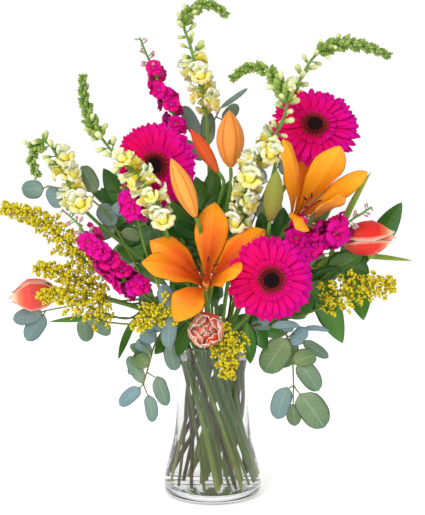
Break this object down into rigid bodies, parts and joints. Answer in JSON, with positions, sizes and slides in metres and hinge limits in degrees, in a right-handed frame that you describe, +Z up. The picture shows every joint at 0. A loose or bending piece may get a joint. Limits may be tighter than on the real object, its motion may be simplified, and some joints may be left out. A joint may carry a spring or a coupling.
{
  "type": "gerberas in a vase",
  "caption": "Mixed bouquet of hot pink gerberas, orange lilies, tulips, snapdragons, stock, goldenrod and eucalyptus in a flared clear glass vase of water.",
  "frame": {"origin": "centre of the underside of the vase base, on the table", "axes": "+Z up along the vase axis, -Y towards the front of the bouquet, +X to its right"},
  "size_m": [0.5262, 0.2811, 0.6511],
  "materials": {
    "glass": "clear blown glass",
    "water": "clear still water",
    "stem": "fresh green plant stem, satin",
    "gerbera_petal": "hot pink petals, soft satin",
    "gerbera_eye": "near-black packed florets, matt",
    "lily_petal": "orange tepals, waxy satin",
    "lily_bud": "closed orange buds, satin",
    "tulip_petal": "red petals with pale edges, satin",
    "snapdragon": "green buds and cream florets, matt",
    "stock": "magenta ruffled florets, matt",
    "goldenrod": "tiny yellow heads, matt",
    "eucalyptus": "grey-green waxy leaves, matt",
    "leaf": "deep green leaves, satin"
  },
  "bodies": {
    "root": {"vase": "glass", "water": "water", "gerbera_left_stem": "stem", "gerbera_left_centre": "gerbera_eye", "gerbera_left_petals": "gerbera_petal", "gerbera_right_stem": "stem", "gerbera_right_centre": "gerbera_eye", "gerbera_right_petals": "gerbera_petal", "gerbera_low_stem": "stem", "gerbera_low_centre": "gerbera_eye", "gerbera_low_petals": "gerbera_petal", "lily_left_stem": "stem", "lily_right_stem": "stem", "lily_left_bloom": "lily_petal", "lily_right_bloom": "lily_petal", "lily_bud_low": "lily_bud", "lily_bud_high": "lily_bud", "lily_bud_slim": "lily_bud", "tulip_left_stem": "stem", "tulip_left_head": "tulip_petal", "tulip_right_stem": "stem", "tulip_right_head": "tulip_petal", "tulip_front_stem": "stem", "tulip_front_head": "tulip_petal", "snapdragon_top": "snapdragon", "snapdragon_left": "snapdragon", "snapdragon_far_left": "snapdragon", "snapdragon_arch": "snapdragon", "snapdragon_right": "snapdragon", "stock_top": "stock", "stock_left": "stock", "stock_right": "stock", "goldenrod_left": "goldenrod", "goldenrod_front_left": "goldenrod", "goldenrod_front_right": "goldenrod", "goldenrod_right": "goldenrod", "goldenrod_back": "goldenrod", "eucalyptus_left": "eucalyptus", "eucalyptus_low_left": "eucalyptus", "eucalyptus_top": "eucalyptus", "eucalyptus_right": "eucalyptus", "eucalyptus_back": "eucalyptus", "leaves_left": "leaf", "leaves_middle": "leaf", "leaves_right": "leaf", "leaves_low_right": "leaf", "leaves_back_left": "leaf", "leaves_back_right": "leaf"}
  },
  "joints": []
}
